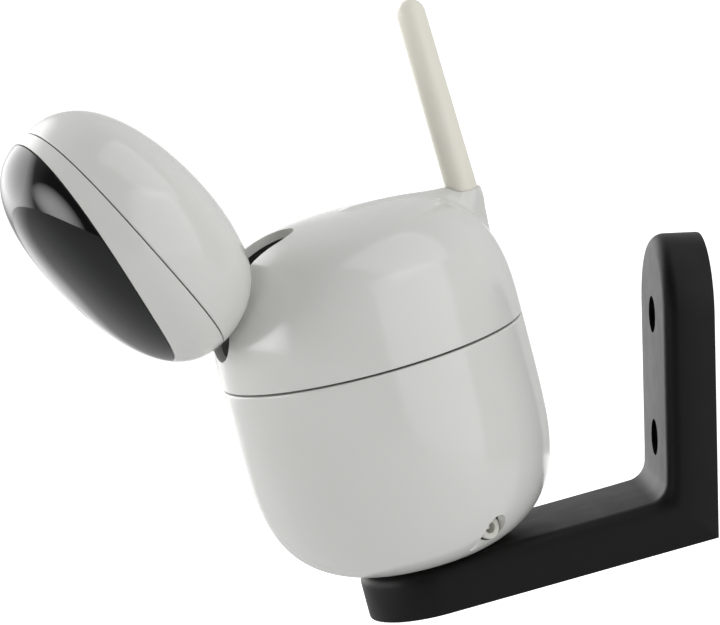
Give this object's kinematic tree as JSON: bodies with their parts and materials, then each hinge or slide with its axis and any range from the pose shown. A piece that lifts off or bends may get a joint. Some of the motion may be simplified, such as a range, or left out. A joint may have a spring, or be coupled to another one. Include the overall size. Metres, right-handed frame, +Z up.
{
  "type": "baby monitor camera",
  "caption": "Pan and tilt nursery camera: round glossy head on a neck through a slotted turret with a stub antenna, over a round base on a black L wall bracket.",
  "frame": {"origin": "centre of the wall face of the bracket's upright arm", "axes": "+Y into the wall, -Y out into the room, +Z up the wall, +X to the camera's left as it looks out"},
  "size_m": [0.0945, 0.1888, 0.1681],
  "materials": {
    "white_shell": "moulded white plastic, high gloss",
    "cream_sleeve": "ivory plastic, soft satin",
    "black_bracket": "black plastic, satin",
    "black_face": "smoked black acrylic, mirror gloss",
    "blue_black_ring": "very dark blue, gloss",
    "lens_glass": "coated lens, polished",
    "black_plastic": "black plastic, fine texture",
    "grey_plastic": "dark grey plastic, matt",
    "natural_plastic": "unpainted white nylon, matt",
    "rubber": "soft black rubber, matt",
    "steel": "zinc-plated steel, brushed",
    "brass": "turned brass",
    "circuit_board": "green solder mask, satin"
  },
  "bodies": {
    "base": {"wall_bracket": "black_bracket", "bracket_screw": "steel", "threaded_insert": "brass", "foot_ring": "rubber", "base_plate": "grey_plastic", "base_shell": "white_shell", "base_deck": "grey_plastic", "deck_screw_1": "steel", "deck_screw_2": "steel", "deck_screw_3": "steel", "pan_motor": "steel", "pan_bearing": "steel", "power_board": "circuit_board", "dc_jack": "natural_plastic", "speaker": "grey_plastic", "power_switch": "grey_plastic"},
    "pan_drive": {"pan_pinion": "natural_plastic"},
    "power_key": {"power_button": "grey_plastic"},
    "turret": {"upper_shell": "white_shell", "turntable": "grey_plastic", "pan_gear": "natural_plastic", "shell_screw_1": "steel", "shell_screw_2": "steel", "shell_screw_3": "steel", "tilt_cradle": "natural_plastic", "axle_bush_left": "brass", "axle_bush_right": "brass", "tilt_motor": "steel", "main_board": "circuit_board", "rf_shield": "steel", "antenna_socket": "natural_plastic", "antenna": "cream_sleeve"},
    "tilt_drive": {"tilt_pinion": "natural_plastic"},
    "head": {"tilt_axle": "steel", "tilt_arm": "natural_plastic", "tilt_gear": "natural_plastic", "slot_curtain": "grey_plastic", "head_rear_shell": "white_shell", "head_front_bezel": "white_shell", "face_cover": "black_face", "face_mask": "black_plastic", "lens_ring": "blue_black_ring", "lens_barrel": "black_plastic", "lens_glass": "lens_glass", "sensor_board": "circuit_board", "ir_board": "circuit_board", "ir_led_1": "lens_glass", "ir_led_2": "lens_glass", "ir_led_3": "lens_glass", "ir_led_4": "lens_glass", "microphone": "steel", "neck_screw_1": "steel", "neck_screw_2": "steel"}
  },
  "joints": [
    {"name": "pan", "type": "hinge", "parent": "base", "child": "turret", "pos_m": [0, -0.09064, 0.01257], "axis": [0, -0.225, 0.9744], "range_deg": [-150, 120]},
    {"name": "tilt", "type": "hinge", "parent": "turret", "child": "head", "pos_m": [0, -0.09289, 0.02231], "axis": [0.9659, 0.2522, 0.0582], "range_deg": [-30, 12]},
    {"name": "pan_pinion_spin", "type": "hinge", "parent": "base", "child": "pan_drive", "pos_m": [-0.01825, -0.08937, 0.00706], "axis": [0, -0.225, 0.9744], "range_deg": [-240, 300]},
    {"name": "tilt_pinion_spin", "type": "hinge", "parent": "turret", "child": "tilt_drive", "pos_m": [-0.01439, -0.08299, 0.02928], "axis": [0.9659, 0.2522, 0.0582], "range_deg": [-30, 65]},
    {"name": "power_button_press", "type": "slide", "parent": "base", "child": "power_key", "axis": [0.8192, -0.5589, -0.129], "range_m": [0, 0.0008], "stiffness_N_per_m": 400}
  ],
  "couplings": [
    {"joint": "pan_pinion_spin", "follows": "pan", "ratio": -2},
    {"joint": "tilt_pinion_spin", "follows": "tilt", "ratio": -2}
  ]
}
